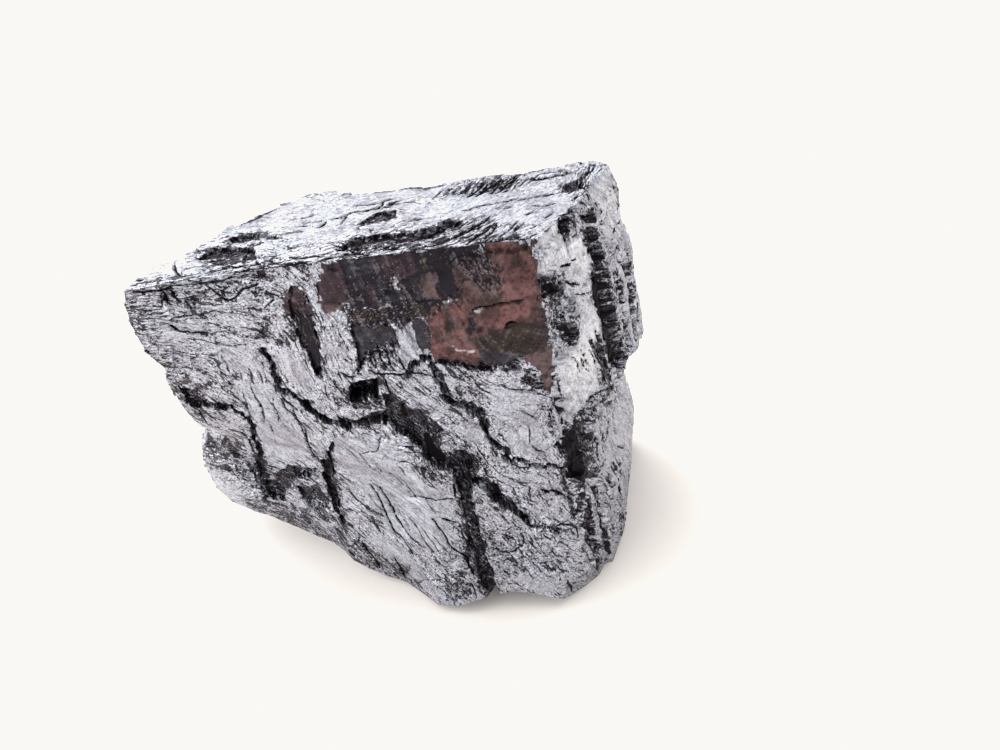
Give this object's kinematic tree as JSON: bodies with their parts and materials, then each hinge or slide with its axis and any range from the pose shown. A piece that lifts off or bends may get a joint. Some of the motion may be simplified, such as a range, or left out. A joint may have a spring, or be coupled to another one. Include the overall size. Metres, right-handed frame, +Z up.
{
  "type": "galena specimen",
  "caption": "Cleaved block of silvery galena with stepped grooves, a small square pit, smooth tarnished facets and rough broken ends.",
  "frame": {"origin": "on the flat foot, under the middle of the block's bounding box", "axes": "+Z up from the foot to the level top side, +X to the right along the top front edge, +Y away from the broad front side"},
  "size_m": [0.0806, 0.0464, 0.0643],
  "materials": {
    "galena": "bright silver-grey metallic cleavage with black cracks, dull crumbled hollows and a few mirror facets tarnished red-brown"
  },
  "bodies": {
    "root": {"galena_block": "galena"}
  },
  "joints": []
}
